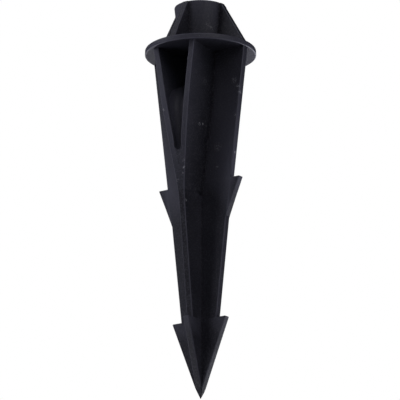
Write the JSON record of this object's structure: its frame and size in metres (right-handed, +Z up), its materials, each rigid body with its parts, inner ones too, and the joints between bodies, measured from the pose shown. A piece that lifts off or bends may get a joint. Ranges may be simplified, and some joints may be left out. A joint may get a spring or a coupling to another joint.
{
  "type": "post_ground_spike",
  "caption": "Black moulded ground spike: tapered post socket on a round flange with gussets, and barbed tapering fins with a cable channel in the front one.",
  "frame": {"origin": "on the axis of the socket at the flange's underside, which is also the step that a post rests on", "axes": "+Z up along the post, -Y the side with the cable channel, +X to the right of it"},
  "size_m": [0.065, 0.065, 0.2351],
  "materials": {
    "body": "moulded, fine grain, slightly scuffed"
  },
  "bodies": {
    "root": {"collar": "body", "flange": "body", "gusset_front": "body", "gusset_right": "body", "gusset_back": "body", "gusset_left": "body", "channel_wall_left": "body", "channel_wall_right": "body", "channel_back": "body", "cable_ramp": "body", "spine": "body", "fin_front": "body", "fin_right": "body", "fin_back": "body", "fin_left": "body", "barb_right": "body", "barb_back": "body", "barb_left": "body", "point_core": "body", "point_front": "body", "point_right": "body", "point_back": "body", "point_left": "body"}
  },
  "joints": []
}
